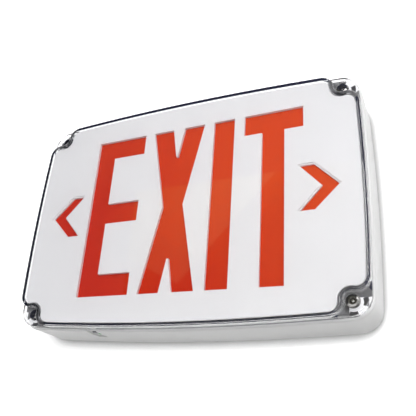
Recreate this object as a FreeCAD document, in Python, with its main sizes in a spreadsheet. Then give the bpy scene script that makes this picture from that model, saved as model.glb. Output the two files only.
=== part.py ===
"""Wet-location emergency exit light, modelled in millimetres.

Frame: +Z up, the sign faces -Y, and the origin is the centre of the rear mounting face.
A station is a distance in front of the wall, so the plane at station s lies at y = -s.
An inset is a distance inside the housing's outer edge.
"""
import FreeCAD, Part
import math
import os
import re
import Sketcher

doc = FreeCAD.newDocument("exit_light")
sheet = doc.addObject("Spreadsheet::Sheet", "Sizes")

SIZES = {
    # outer form: a rounded rectangle with slightly bowed sides
    "overall_width": 308.0,
    "overall_height": 210.5,
    "overall_depth": 54.0,
    "corner_radius": 17.7,
    "side_bow_radius": 1754.0,
    "top_bow_radius": 2194.0,
    # housing moulding
    "housing_depth": 41.5,
    "housing_wall": 4.0,
    "housing_draft": 0.8,
    "rim_thickness": 3.0,
    "rim_round": 1.6,
    "rim_opening_inset": 8.5,
    "back_round": 2.0,
    "rear_lip": 2.2,
    "column_radius": 6.0,
    "column_rib": 2.0,
    # back plate and its seals
    "plate_thickness": 3.0,
    "plate_clearance": 0.3,
    "back_seal_thickness": 1.5,
    "back_seal_width": 2.5,
    "plate_screw_length": 12.0,
    "tip_clearance": 1.0,
    "supply_entry_radius": 11.0,
    "supply_entry_rise": 24.0,
    "grommet_bore_radius": 8.0,
    "grommet_lip": 2.0,
    "box_screw_spacing": 88.9,
    "box_screw_hole": 2.5,
    "wall_screw_spacing_x": 200.0,
    "wall_screw_spacing_z": 124.0,
    "wall_screw_hole": 2.75,
    "wall_gasket_radius": 54.0,
    "wall_gasket_width": 4.0,
    "wall_gasket_thickness": 1.2,
    # clear cover
    "cover_inset": 2.3,
    "cover_wall": 3.0,
    "cover_sheet": 3.0,
    "cover_round": 2.0,
    "cover_flange": 3.0,
    "lip_height": 2.5,
    "lip_width": 1.4,
    "screw_pad_radius": 7.4,
    "screw_pad_height": 0.5,
    "scallop_radius": 6.0,
    "scallop_blend": 10.7,
    "gasket_thickness": 1.2,
    "gasket_margin": 0.5,
    # cover screws
    "screw_inset_x": 17.5,
    "screw_inset_z": 17.05,
    "screw_shank": 2.1,
    "screw_clearance": 0.4,
    "screw_head_radius": 4.8,
    "screw_head_height": 2.0,
    "screw_head_crown": 1.2,
    "screw_length": 22.0,
    "screw_socket_radius": 2.3,
    "screw_socket_depth": 1.3,
    "screw_pin_radius": 0.7,
    "washer_thickness": 0.5,
    "washer_radius": 5.2,
    # stencil face
    "face_gap": 1.0,
    "stencil_sheet": 2.5,
    "stencil_clearance": 0.9,
    "stencil_skirt": 2.0,
    "tab_width": 14.0,
    "tab_thickness": 1.6,
    "tab_reach": 6.0,
    "tab_offset": 45.0,
    # legend
    "letter_height": 152.4,
    "letter_width": 50.4,
    "letter_gap": 9.0,
    "stroke_width": 19.05,
    "bar_height": 19.5,
    "legend_left": 92.0,
    "cross_arm_width": 19.5,
    "cross_notch_height": 47.7,
    "cross_notch_width": 1.6,
    "cross_waist": 9.6,
    "chevron_margin": 22.1,
    "chevron_half_height": 19.4,
    "chevron_reach": 18.9,
    "chevron_thickness": 13.0,
    "chevron_end": 11.5,
    "chevron_rise": 1.3,
    "chevron_border": 1.3,
    "chevron_border_depth": 0.9,
    # red diffuser
    "diffuser_sheet": 2.0,
    "diffuser_margin_x": 16.0,
    "diffuser_overlap_z": 8.8,
    "diffuser_screw_gap": 13.2,
    "peg_radius": 2.0,
    "peg_clearance": 0.15,
    "peg_margin_x": 16.0,
    "peg_margin_z": 4.0,
    "peg_side_z": 62.0,
    "retainer_radius": 4.0,
    "retainer_thickness": 0.8,
    # reflector and light strips
    "reflector_station": 27.0,
    "reflector_sheet": 1.5,
    "reflector_margin_x": 22.0,
    "reflector_margin_z": 22.25,
    "reflector_corner": 10.0,
    "reflector_skirt": 6.0,
    "post_radius": 4.0,
    "post_margin_x": 14.0,
    "post_margin_z": 17.0,
    "small_screw_shank": 1.45,
    "small_screw_head": 2.8,
    "small_screw_height": 1.8,
    "small_screw_length": 8.0,
    "small_hole_clearance": 0.2,
    "thread_clearance": 0.05,
    "strip_end_gap": 14.0,
    "strip_height": 12.0,
    "strip_z": 38.0,
    "strip_screw_margin": 6.0,
    "board_sheet": 1.6,
    "led_pitch": 18.0,
    "led_count": 12.0,
    "led_width": 3.5,
    "led_height": 2.8,
    "led_depth": 1.5,
    # control board and what it carries
    "control_x": 69.0,
    "control_z": -4.0,
    "control_width": 86.0,
    "control_height": 104.0,
    "control_standoff": 6.0,
    "control_hole_margin": 5.0,
    "transformer_width": 32.0,
    "transformer_height": 28.0,
    "transformer_depth": 13.5,
    "transformer_window": 6.0,
    "bobbin_clearance": 0.3,
    "relay_width": 20.0,
    "relay_height": 10.5,
    "relay_depth": 14.5,
    "capacitor_radius": 5.0,
    "capacitor_height": 13.5,
    "capacitor_pitch": 13.0,
    "terminal_width": 31.0,
    "terminal_height": 10.0,
    "terminal_depth": 11.0,
    # battery
    "cell_radius": 7.15,
    "cell_length": 50.0,
    "cell_pitch": 15.2,
    "battery_x": -78.0,
    "battery_z": -6.0,
    "cap_wall": 1.5,
    "cap_grip": 5.0,
    "strap_sheet": 1.2,
    "strap_width": 18.0,
    "strap_foot": 11.0,
    "strap_post_height": 5.0,
    # test controls in the underside recess
    "test_x": -78.5,
    "recess_width": 9.5,
    "recess_length": 20.0,
    "recess_depth": 2.0,
    "spot_radius": 5.0,
    "spot_depth": 0.4,
    "button_station": 34.0,
    "button_radius": 3.0,
    "button_clearance": 0.2,
    "button_proud": 0.8,
    "button_travel": 1.2,
    "button_flange_radius": 4.3,
    "button_flange": 1.0,
    "button_stem": 1.5,
    "seal_thickness": 0.8,
    "lamp_station": 26.5,
    "lamp_radius": 2.0,
    "lamp_clearance": 0.1,
    "switch_size": 7.0,
    "switch_board_rise": 5.85,
    "switch_board_width": 40.0,
    "switch_board_depth": 16.0,
    "switch_board_station": 30.0,
    "switch_post_spacing": 32.0,
    "switch_post_radius": 3.0,
}

for row, (alias, number) in enumerate(SIZES.items(), start=1):
    sheet.set("A%d" % row, alias)
    sheet.set("B%d" % row, str(number))
    sheet.setAlias("B%d" % row, alias)
doc.recompute()


def bind(text):
    """Turn a formula written with size names into an expression on the sheet."""
    return re.sub(r"[a-z]+(?:_[a-z]+)+", lambda m: "Sizes." + m.group(0), text)


def value(text):
    return float(sheet.evalExpression(bind(text)))


# ---- stations, from the wall towards the viewer -------------------------------------------
RIM = "housing_depth"
RIM_BACK = "(housing_depth - rim_thickness)"
PLATE_FRONT = "plate_thickness"
LEDGE = "(plate_thickness + back_seal_thickness)"
FLANGE_BACK = "(housing_depth + gasket_thickness)"
PAD_FRONT = "(housing_depth + gasket_thickness + cover_flange + screw_pad_height)"
HEAD_SEAT = "(housing_depth + gasket_thickness + cover_flange + screw_pad_height + washer_thickness)"
COVER_BACK = "(overall_depth - cover_sheet)"
STENCIL_FRONT = "(overall_depth - cover_sheet - face_gap)"
STENCIL_BACK = "(overall_depth - cover_sheet - face_gap - stencil_sheet)"
DIFFUSER_BACK = "(overall_depth - cover_sheet - face_gap - stencil_sheet - diffuser_sheet)"
REFLECTOR_FRONT = "(reflector_station + reflector_sheet)"
STRIP_FRONT = "(reflector_station + reflector_sheet + board_sheet)"
CONTROL_BACK = "(plate_thickness + control_standoff)"
CONTROL_FRONT = "(plate_thickness + control_standoff + board_sheet)"

# ---- insets --------------------------------------------------------------------------------
STENCIL_INSET = "(cover_inset + cover_wall + stencil_clearance)"
GASKET_INSET = "(cover_inset + gasket_margin)"
GASKET_INNER = "(cover_inset + cover_wall - gasket_margin / 2)"

# ---- places in the front view --------------------------------------------------------------
SCREW_X = "(overall_width / 2 - screw_inset_x)"
SCREW_Z = "(overall_height / 2 - screw_inset_z)"
DIFFUSER_X = "(overall_width / 2 - diffuser_margin_x)"
DIFFUSER_Z = "(letter_height / 2 + diffuser_overlap_z)"
DIFFUSER_CLIP = "(%s + %s - %s - %s + diffuser_screw_gap * sqrt(2))" % (
    DIFFUSER_X, DIFFUSER_Z, SCREW_X, SCREW_Z)
PEG_X = "(%s - peg_margin_x)" % DIFFUSER_X
PEG_Z = "(%s - peg_margin_z)" % DIFFUSER_Z
REFLECTOR_X = "(overall_width / 2 - reflector_margin_x)"
REFLECTOR_Z = "(overall_height / 2 - reflector_margin_z)"
POST_X = "(%s - post_margin_x)" % REFLECTOR_X
POST_Z = "(%s - post_margin_z)" % REFLECTOR_Z
STRIP_X = "(%s - strip_end_gap)" % REFLECTOR_X
STRIP_SCREW_X = "(%s - strip_screw_margin)" % STRIP_X

# ---- depths below the centre line at the test controls -------------------------------------
LOW_WALL = ("(overall_height / 2 - top_bow_radius"
            " + sqrt(top_bow_radius * top_bow_radius - test_x * test_x))")
RECESS_FLOOR = "(%s - recess_depth)" % LOW_WALL
SPOT_FACE = "(%s - housing_wall + spot_depth)" % LOW_WALL
FLANGE_LOW = "(%s - seal_thickness - button_clearance / 2)" % SPOT_FACE
FLANGE_TOP = "(%s - button_flange)" % FLANGE_LOW
SWITCH_LOW = "(%s - button_travel - 2 * button_clearance)" % FLANGE_TOP
BOARD_LOW = "(%s - housing_wall - switch_board_rise)" % LOW_WALL


# ---- document helpers ----------------------------------------------------------------------
def new_body(label):
    body = doc.addObject("PartDesign::Body", label)
    body.Label = label
    return body


def origin_feature(body, role):
    return [f for f in body.Origin.OriginFeatures if f.Role == role][0]


def new_sketch(body, name, role, x="0", y="0", z="0"):
    """Sketch on one of the body's own planes, moved by formulas in the sketch's own axes."""
    sketch = body.newObject("Sketcher::SketchObject", body.Label + "_" + name)
    sketch.AttachmentSupport = [(origin_feature(body, role), "")]
    sketch.MapMode = "FlatFace"
    for axis, formula in (("x", x), ("y", y), ("z", z)):
        if formula != "0":
            sketch.setExpression("AttachmentOffset.Base." + axis, bind(formula))
    return sketch


def front_sketch(body, name, station):
    """Sketch parallel to the wall: x to the right, y up, normal towards the viewer."""
    return new_sketch(body, name, "XZ_Plane", z=station)


def level_sketch(body, name, height):
    """Horizontal sketch: x to the right, y towards the wall, normal up."""
    return new_sketch(body, name, "XY_Plane", z=height)


def constrain(sketch, kind, *args, formula=None):
    index = sketch.addConstraint(Sketcher.Constraint(kind, *args))
    if formula is not None:
        sketch.setExpression("Constraints[%d]" % index, bind(formula))


def pin(sketch, geo, pos, x, y):
    """Fix one point at (x, y), each coordinate a formula measured from the sketch origin."""
    for kind, axis, formula in (("DistanceX", -2, x), ("DistanceY", -1, y)):
        number = value(formula)
        if abs(number) < 1e-9:
            constrain(sketch, "PointOnObject", geo, pos, axis)
        elif number > 0:
            constrain(sketch, kind, -1, 1, geo, pos, number, formula=formula)
        else:
            constrain(sketch, kind, geo, pos, -1, 1, -number, formula="-(%s)" % formula)


def polygon(sketch, corners):
    points = [FreeCAD.Vector(value(x), value(y), 0) for x, y in corners]
    count = len(points)
    first = sketch.GeometryCount
    for i in range(count):
        sketch.addGeometry(Part.LineSegment(points[i], points[(i + 1) % count]))
    for i in range(count):
        constrain(sketch, "Coincident", first + i, 2, first + (i + 1) % count, 1)
    for i, (x, y) in enumerate(corners):
        pin(sketch, first + i, 1, x, y)


def rectangle(sketch, x, y, width, height):
    left, right = "(%s) - (%s) / 2" % (x, width), "(%s) + (%s) / 2" % (x, width)
    low, high = "(%s) - (%s) / 2" % (y, height), "(%s) + (%s) / 2" % (y, height)
    polygon(sketch, [(left, low), (right, low), (right, high), (left, high)])


def clipped_rectangle(sketch, half_width, half_height, clip):
    """Rectangle about the centre with its four corners cut off at 45 degrees."""
    w, v = "(%s)" % half_width, "(%s)" % half_height
    polygon(sketch, [("-(%s) + (%s)" % (w, clip), "-(%s)" % v), ("(%s) - (%s)" % (w, clip), "-(%s)" % v),
                     (w, "-(%s) + (%s)" % (v, clip)), (w, "(%s) - (%s)" % (v, clip)),
                     ("(%s) - (%s)" % (w, clip), v), ("-(%s) + (%s)" % (w, clip), v),
                     ("-(%s)" % w, "(%s) - (%s)" % (v, clip)), ("-(%s)" % w, "-(%s) + (%s)" % (v, clip))])


def circle(sketch, x, y, radius):
    geo = sketch.addGeometry(Part.Circle(FreeCAD.Vector(value(x), value(y), 0),
                                         FreeCAD.Vector(0, 0, 1), value(radius)))
    constrain(sketch, "Radius", geo, value(radius), formula=radius)
    pin(sketch, geo, 3, x, y)


def pad(body, name, sketch, length, draft=None):
    feature = body.newObject("PartDesign::Pad", body.Label + "_" + name)
    feature.Profile = sketch
    feature.setExpression("Length", bind(length))
    if draft:
        feature.setExpression("TaperAngle", bind(draft))
    doc.recompute()
    return feature


def pocket(body, name, sketch, length, forward=False):
    """Cut from the sketch against its normal, or along it when forward is set."""
    before = body.Shape.Volume
    feature = body.newObject("PartDesign::Pocket", body.Label + "_" + name)
    feature.Profile = sketch
    feature.Reversed = forward
    feature.setExpression("Length", bind(length))
    doc.recompute()
    if not body.Shape.Volume < before:
        raise RuntimeError("%s cuts nothing" % feature.Name)
    return feature


def revolve(body, name, sketch, cut=False):
    kind = "PartDesign::Groove" if cut else "PartDesign::Revolution"
    before = body.Shape.Volume if cut else 0.0
    feature = body.newObject(kind, body.Label + "_" + name)
    feature.Profile = sketch
    feature.ReferenceAxis = (sketch, ["V_Axis"])
    feature.Angle = 360.0
    doc.recompute()
    if cut and not body.Shape.Volume < before:
        raise RuntimeError("%s cuts nothing" % feature.Name)
    return feature


def fillet(body, name, station, radius):
    """Round every edge that lies in the plane at this station."""
    base = body.Tip
    y = -value(station)
    edges = []
    for i, edge in enumerate(base.Shape.Edges, start=1):
        box = edge.BoundBox
        if abs(box.YMin - y) < 1e-3 and abs(box.YMax - y) < 1e-3:
            edges.append("Edge%d" % i)
    feature = body.newObject("PartDesign::Fillet", body.Label + "_" + name)
    feature.Base = (base, edges)
    feature.setExpression("Radius", bind(radius))
    doc.recompute()
    return feature


def upright_fillet(body, name, low, high, radius):
    """Round the edges square to the wall that run from one station to the other."""
    base = body.Tip
    ends = sorted((-value(high), -value(low)))
    edges = []
    for i, edge in enumerate(base.Shape.Edges, start=1):
        box = edge.BoundBox
        square = max(box.XLength, box.ZLength) < 1e-3
        if square and abs(box.YMin - ends[0]) < 1e-3 and abs(box.YMax - ends[1]) < 1e-3:
            edges.append("Edge%d" % i)
    feature = body.newObject("PartDesign::Fillet", body.Label + "_" + name)
    feature.Base = (base, edges)
    feature.setExpression("Radius", bind(radius))
    doc.recompute()
    return feature


def four_corners(body, name, features):
    """Repeat features of the upper right corner in the other three."""
    pattern = body.newObject("PartDesign::MultiTransform", body.Label + "_" + name)
    pattern.Originals = features
    steps = []
    for suffix, role in (("_sides", "YZ_Plane"), ("_ends", "XY_Plane")):
        mirror = body.newObject("PartDesign::Mirrored", body.Label + "_" + name + suffix)
        mirror.MirrorPlane = (origin_feature(body, role), [""])
        steps.append(mirror)
    pattern.Transformations = steps
    body.Tip = pattern
    doc.recompute()
    return pattern


def row_of(body, name, features, role, length, count):
    pattern = body.newObject("PartDesign::LinearPattern", body.Label + "_" + name)
    pattern.Originals = features
    pattern.Direction = (origin_feature(body, role), [""])
    pattern.setExpression("Length", bind(length))
    pattern.setExpression("Occurrences", bind(count))
    body.Tip = pattern
    doc.recompute()
    return pattern


def block(label, x, z, width, height, station, depth):
    """A plain box on a face parallel to the wall."""
    body = new_body(label)
    sketch = front_sketch(body, "outline", station)
    rectangle(sketch, x, z, width, height)
    pad(body, "solid", sketch, depth)


# ---- the family of outlines ----------------------------------------------------------------
def meet(centre_a, radius_a, centre_b, radius_b, pick):
    """Where two circles cross; pick chooses one of the two points."""
    apart = centre_b - centre_a
    span = apart.Length
    along = (radius_a ** 2 - radius_b ** 2 + span ** 2) / (2 * span)
    across = math.sqrt(radius_a ** 2 - along ** 2)
    unit = apart / span
    foot = centre_a + unit * along
    side = FreeCAD.Vector(-unit.y, unit.x, 0) * across
    return pick((foot + side, foot - side))


def outline(sketch, inset, scalloped=False):
    """Bowed rounded rectangle; scalloped corners swing inwards round the cover screws."""
    shift = value(inset)
    half_w, half_h = value("overall_width") / 2, value("overall_height") / 2
    side_r, top_r = value("side_bow_radius"), value("top_bow_radius")
    side_c = FreeCAD.Vector(half_w - side_r, 0, 0)
    top_c = FreeCAD.Vector(0, half_h - top_r, 0)
    radii = {"side": side_r - shift, "top": top_r - shift}
    formulas = {"side": "side_bow_radius - (%s)" % inset, "top": "top_bow_radius - (%s)" % inset}
    if scalloped:
        swing = "((%s) - cover_inset)" % inset
        formulas["scallop"] = "scallop_radius + " + swing
        formulas["blend"] = "scallop_blend - " + swing
        radii["scallop"], radii["blend"] = value(formulas["scallop"]), value(formulas["blend"])
        screw = FreeCAD.Vector(value(SCREW_X), value(SCREW_Z), 0)
        reach = radii["scallop"] + radii["blend"]
        low = meet(side_c, radii["side"] - radii["blend"], screw, reach,
                   lambda pair: min(pair, key=lambda p: p.y))
        high = meet(top_c, radii["top"] - radii["blend"], screw, reach,
                    lambda pair: min(pair, key=lambda p: p.x))
        chain = [("blend", low), ("scallop", screw), ("blend", high)]
    else:
        formulas["corner"] = "corner_radius - (%s)" % inset
        radii["corner"] = value(formulas["corner"])
        corner = meet(side_c, radii["side"] - radii["corner"], top_c, radii["top"] - radii["corner"],
                      lambda pair: max(pair, key=lambda p: p.x))
        chain = [("corner", corner)]

    # arcs anticlockwise from the right-hand side: kind, centre
    arcs = []
    for flip_x, flip_y in ((1, 1), (-1, 1), (-1, -1), (1, -1)):
        order = chain if flip_x * flip_y > 0 else chain[::-1]
        side = ("side", FreeCAD.Vector(side_c.x * flip_x, 0, 0))
        top = ("top", FreeCAD.Vector(0, top_c.y * flip_y, 0))
        arcs.append(side if flip_x * flip_y > 0 else top)
        arcs += [(kind, FreeCAD.Vector(c.x * flip_x, c.y * flip_y, 0)) for kind, c in order]

    def joint(one, two):
        """Tangent point between two neighbouring arcs."""
        (kind_a, centre_a), (kind_b, centre_b) = one, two
        if "scallop" in (kind_a, kind_b):
            ratio = radii[kind_a] / (radii[kind_a] + radii[kind_b])
            return centre_a + (centre_b - centre_a) * ratio
        if radii[kind_a] > radii[kind_b]:
            return centre_a + (centre_b - centre_a).normalize() * radii[kind_a]
        return centre_b + (centre_a - centre_b).normalize() * radii[kind_b]

    count = len(arcs)
    joints = [joint(arcs[i - 1], arcs[i]) for i in range(count)]
    first = sketch.GeometryCount
    ends = []
    geometry = []
    for i, (kind, centre) in enumerate(arcs):
        start, stop = joints[i], joints[(i + 1) % count]
        hollow = kind == "scallop"
        if hollow:
            start, stop = stop, start
        angle_a = math.atan2(start.y - centre.y, start.x - centre.x)
        angle_b = math.atan2(stop.y - centre.y, stop.x - centre.x)
        if angle_b < angle_a:
            angle_b += 2 * math.pi
        ring = Part.Circle(centre, FreeCAD.Vector(0, 0, 1), radii[kind])
        geometry.append(Part.ArcOfCircle(ring, angle_a, angle_b))
        ends.append((2, 1) if hollow else (1, 2))
    sketch.addGeometry(geometry)
    for i in range(count):
        j = (i + 1) % count
        constrain(sketch, "Tangent", first + i, ends[i][1], first + j, ends[j][0])
    leaders = {}
    for i, (kind, centre) in enumerate(arcs):
        geo = first + i
        if kind in leaders:
            constrain(sketch, "Equal", leaders[kind], geo)
        else:
            leaders[kind] = geo
            constrain(sketch, "Radius", geo, radii[kind], formula=formulas[kind])
        if kind == "side":
            formula = "side_bow_radius - overall_width / 2"
            pin(sketch, geo, 3, ("-(%s)" if centre.x < 0 else "(%s)") % formula, "0")
        elif kind == "top":
            formula = "top_bow_radius - overall_height / 2"
            pin(sketch, geo, 3, "0", ("-(%s)" if centre.y < 0 else "(%s)") % formula)
        elif kind == "scallop":
            pin(sketch, geo, 3, ("-" if centre.x < 0 else "") + SCREW_X,
                ("-" if centre.y < 0 else "") + SCREW_Z)


def turned(body, name, role, x, away, profile, cut=False):
    """Solid of revolution about the sketch's own upright axis, which stands at x on a plane moved away."""
    sketch = new_sketch(body, name + "_profile", role, x=x, z=away)
    polygon(sketch, profile)
    return revolve(body, name, sketch, cut)


def front_turned(body, name, x, z, profile, cut=False):
    """Profile of (radius, station) turned about an axis square to the wall."""
    corners = [(radius, "-(%s)" % station) for radius, station in profile]
    return turned(body, name, "XY_Plane", x, z, corners, cut)


def upright_turned(body, name, x, station, profile, cut=False):
    """Profile of (radius, depth below the centre line) turned about an upright axis."""
    corners = [(radius, "-(%s)" % depth) for radius, depth in profile]
    return turned(body, name, "XZ_Plane", x, station, corners, cut)


def pan_screw(body, name, x, z, seat, length):
    """Small pan-head screw whose head sits on the plane at station seat."""
    head = "((%s) + small_screw_height)" % seat
    profile = [("0", "(%s) - (%s)" % (seat, length)),
               ("small_screw_shank", "(%s) - (%s)" % (seat, length)),
               ("small_screw_shank", seat), ("small_screw_head", seat),
               ("small_screw_head", "(%s) - small_screw_height / 2" % head),
               ("small_screw_head / 2", head), ("0", head)]
    return front_turned(body, name, x, z, profile)


# ---- housing -------------------------------------------------------------------------------
def make_housing():
    body = new_body("housing")
    sketch = front_sketch(body, "outer", "0")
    outline(sketch, "0")
    pad(body, "shell", sketch, RIM, draft="-housing_draft")
    fillet(body, "front_round", RIM, "rim_round")
    fillet(body, "rear_round", "0", "back_round")

    sketch = front_sketch(body, "plate_seat", LEDGE)
    outline(sketch, "rear_lip")
    pocket(body, "plate_recess", sketch, LEDGE)

    sketch = front_sketch(body, "cavity", RIM_BACK)
    outline(sketch, "housing_wall")
    pocket(body, "hollow", sketch, RIM_BACK)

    sketch = front_sketch(body, "opening", RIM)
    outline(sketch, "rim_opening_inset", scalloped=True)
    pocket(body, "window", sketch, "rim_thickness + rim_round")

    # screw columns with two ribs to the walls
    sketch = front_sketch(body, "column", PLATE_FRONT)
    circle(sketch, SCREW_X, SCREW_Z, "column_radius")
    column = pad(body, "columns", sketch, "%s - %s" % (RIM_BACK, PLATE_FRONT))
    sketch = front_sketch(body, "rib_side", LEDGE)
    reach = "screw_inset_x - housing_wall"
    rectangle(sketch, "%s + (%s) / 2" % (SCREW_X, reach), SCREW_Z, reach, "column_rib")
    rib_side = pad(body, "ribs_side", sketch, "%s - %s" % (RIM_BACK, LEDGE))
    sketch = front_sketch(body, "rib_top", LEDGE)
    reach = "screw_inset_z - housing_wall * 1.5"
    rectangle(sketch, SCREW_X, "%s + (%s) / 2" % (SCREW_Z, reach), "column_rib", reach)
    rib_top = pad(body, "ribs_top", sketch, "%s - %s" % (RIM_BACK, LEDGE))
    four_corners(body, "all_columns", [column, rib_side, rib_top])

    # blind bores for the cover screws and, from behind, for the plate screws
    sketch = front_sketch(body, "front_bore", RIM)
    circle(sketch, SCREW_X, SCREW_Z, "screw_shank + thread_clearance")
    front_bore = pocket(body, "front_bores", sketch, "screw_length - gasket_thickness - cover_flange")
    sketch = front_sketch(body, "rear_bore", "%s + plate_screw_length" % PLATE_FRONT)
    circle(sketch, SCREW_X, SCREW_Z, "small_screw_shank + thread_clearance")
    rear_bore = pocket(body, "rear_bores", sketch, "plate_screw_length")
    four_corners(body, "all_bores", [front_bore, rear_bore])

    # recess in the underside for the test controls, open towards the rim
    sketch = level_sketch(body, "recess", "-" + RECESS_FLOOR)
    rectangle(sketch, "test_x", "-(housing_depth - recess_length / 2 + rim_round)",
              "recess_width", "recess_length + 2 * rim_round")
    pocket(body, "test_recess", sketch, "recess_depth + rim_round")
    sketch = level_sketch(body, "spot", "-(%s - housing_wall)" % SPOT_FACE)
    circle(sketch, "test_x", "-button_station", "spot_radius")
    pocket(body, "button_spot", sketch, "housing_wall")
    sketch = level_sketch(body, "lamp_spot", "-(%s - housing_wall)" % SPOT_FACE)
    circle(sketch, "test_x", "-lamp_station", "spot_radius")
    pocket(body, "lamp_spot_face", sketch, "housing_wall")
    sketch = level_sketch(body, "holes", "-(%s - housing_wall)" % SPOT_FACE)
    circle(sketch, "test_x", "-button_station", "button_radius + button_clearance")
    circle(sketch, "test_x", "-lamp_station", "lamp_radius + lamp_clearance")
    pocket(body, "control_holes", sketch, "2 * housing_wall")

    # two posts for the switch board
    sketch = level_sketch(body, "posts", "-" + BOARD_LOW)
    for sign in ("-", "+"):
        circle(sketch, "test_x %s switch_post_spacing / 2" % sign, "-switch_board_station",
               "switch_post_radius")
    posts = pad(body, "switch_posts", sketch, "switch_board_rise + housing_wall / 2")
    posts.Reversed = True
    doc.recompute()
    sketch = level_sketch(body, "post_bores", "-" + BOARD_LOW)
    for sign in ("-", "+"):
        circle(sketch, "test_x %s switch_post_spacing / 2" % sign, "-switch_board_station",
               "small_screw_shank + thread_clearance")
    pocket(body, "switch_post_bores", sketch, "switch_board_rise")


# ---- back plate ----------------------------------------------------------------------------
def make_back_plate():
    body = new_body("back_plate")
    sketch = front_sketch(body, "outer", "0")
    outline(sketch, "rear_lip + plate_clearance")
    pad(body, "sheet", sketch, "plate_thickness")

    sketch = front_sketch(body, "wall_ring", "wall_gasket_thickness")
    circle(sketch, "0", "0", "wall_gasket_radius")
    circle(sketch, "0", "0", "wall_gasket_radius - wall_gasket_width")
    pocket(body, "wall_groove", sketch, "wall_gasket_thickness")

    sketch = front_sketch(body, "box_holes", PLATE_FRONT)
    circle(sketch, "0", "supply_entry_rise", "supply_entry_radius")
    for sign in ("-", ""):
        circle(sketch, sign + "box_screw_spacing / 2", "0", "box_screw_hole")
    pocket(body, "box_pattern", sketch, "plate_thickness")

    # posts: four for the reflector, four for the control board, two for the battery strap
    sketch = front_sketch(body, "post", PLATE_FRONT)
    circle(sketch, POST_X, POST_Z, "post_radius")
    post = pad(body, "reflector_posts", sketch, "reflector_station - plate_thickness")
    sketch = front_sketch(body, "wall_hole", PLATE_FRONT)
    circle(sketch, "wall_screw_spacing_x / 2", "wall_screw_spacing_z / 2", "wall_screw_hole")
    wall_hole = pocket(body, "wall_holes", sketch, "plate_thickness")
    sketch = front_sketch(body, "post_bore", "reflector_station")
    circle(sketch, POST_X, POST_Z, "small_screw_shank + thread_clearance")
    post_bore = pocket(body, "reflector_post_bores", sketch, "small_screw_length")
    sink = front_turned(body, "plate_screw_holes", SCREW_X, SCREW_Z,
                        [("0", "-plate_thickness / 2"),
                         ("small_screw_head + plate_clearance + plate_thickness / 2", "-plate_thickness / 2"),
                         ("small_screw_head + plate_clearance", "0"),
                         ("small_screw_shank + small_hole_clearance",
                          "small_screw_head + plate_clearance - small_screw_shank - small_hole_clearance"),
                         ("small_screw_shank + small_hole_clearance", "2 * plate_thickness"),
                         ("0", "2 * plate_thickness")], cut=True)
    four_corners(body, "corner_features", [post, wall_hole, post_bore, sink])

    sketch = front_sketch(body, "board_posts", PLATE_FRONT)
    for x, z in control_corners():
        circle(sketch, x, z, "post_radius")
    pad(body, "control_posts", sketch, "control_standoff")
    sketch = front_sketch(body, "board_bores", CONTROL_BACK)
    for x, z in control_corners():
        circle(sketch, x, z, "small_screw_shank + thread_clearance")
    pocket(body, "control_post_bores", sketch, "control_standoff")

    sketch = front_sketch(body, "strap_posts", PLATE_FRONT)
    for x, z in strap_feet():
        circle(sketch, x, z, "post_radius")
    pad(body, "strap_post_pair", sketch, "strap_post_height")
    sketch = front_sketch(body, "strap_bores", "plate_thickness + strap_post_height")
    for x, z in strap_feet():
        circle(sketch, x, z, "small_screw_shank + thread_clearance")
    pocket(body, "strap_post_bores", sketch, "strap_post_height")


def control_corners():
    """Screw positions at the four corners of the control board."""
    return [("control_x %s (control_width / 2 - control_hole_margin)" % sx,
             "control_z %s (control_height / 2 - control_hole_margin)" % sz)
            for sx in ("-", "+") for sz in ("-", "+")]


PACK_HALF = "(cell_pitch + cell_radius + cap_wall)"


def strap_feet():
    """Screw positions at the two ends of the battery strap."""
    return [("battery_x", "battery_z %s (%s + strap_sheet + strap_foot / 2)" % (sign, PACK_HALF))
            for sign in ("-", "+")]


def make_back_seal():
    body = new_body("back_seal")
    sketch = front_sketch(body, "ring", PLATE_FRONT)
    outline(sketch, "rear_lip + plate_clearance")
    outline(sketch, "rear_lip + plate_clearance + back_seal_width")
    pad(body, "solid", sketch, "back_seal_thickness")


def make_back_plate_screws():
    body = new_body("back_plate_screws")
    head = front_turned(body, "screw", SCREW_X, SCREW_Z,
                        [("0", "0"), ("small_screw_head", "0"),
                         ("small_screw_shank", "small_screw_head - small_screw_shank"),
                         ("small_screw_shank", "plate_thickness + plate_screw_length - tip_clearance"),
                         ("0", "plate_thickness + plate_screw_length - tip_clearance")])
    four_corners(body, "set", [head])


def make_wall_gasket():
    body = new_body("wall_gasket")
    sketch = front_sketch(body, "ring", "0")
    circle(sketch, "0", "0", "wall_gasket_radius")
    circle(sketch, "0", "0", "wall_gasket_radius - wall_gasket_width")
    pad(body, "solid", sketch, "wall_gasket_thickness")


def make_supply_grommet():
    """Rubber bushing round the supply entry, with a lip on the inner side of the plate."""
    body = new_body("supply_grommet")
    front_turned(body, "bush", "0", "supply_entry_rise",
                 [("grommet_bore_radius", "0"), ("supply_entry_radius", "0"),
                  ("supply_entry_radius", PLATE_FRONT),
                  ("supply_entry_radius + grommet_lip", PLATE_FRONT),
                  ("supply_entry_radius + grommet_lip", "plate_thickness + grommet_lip"),
                  ("grommet_bore_radius", "plate_thickness + grommet_lip")])


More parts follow.
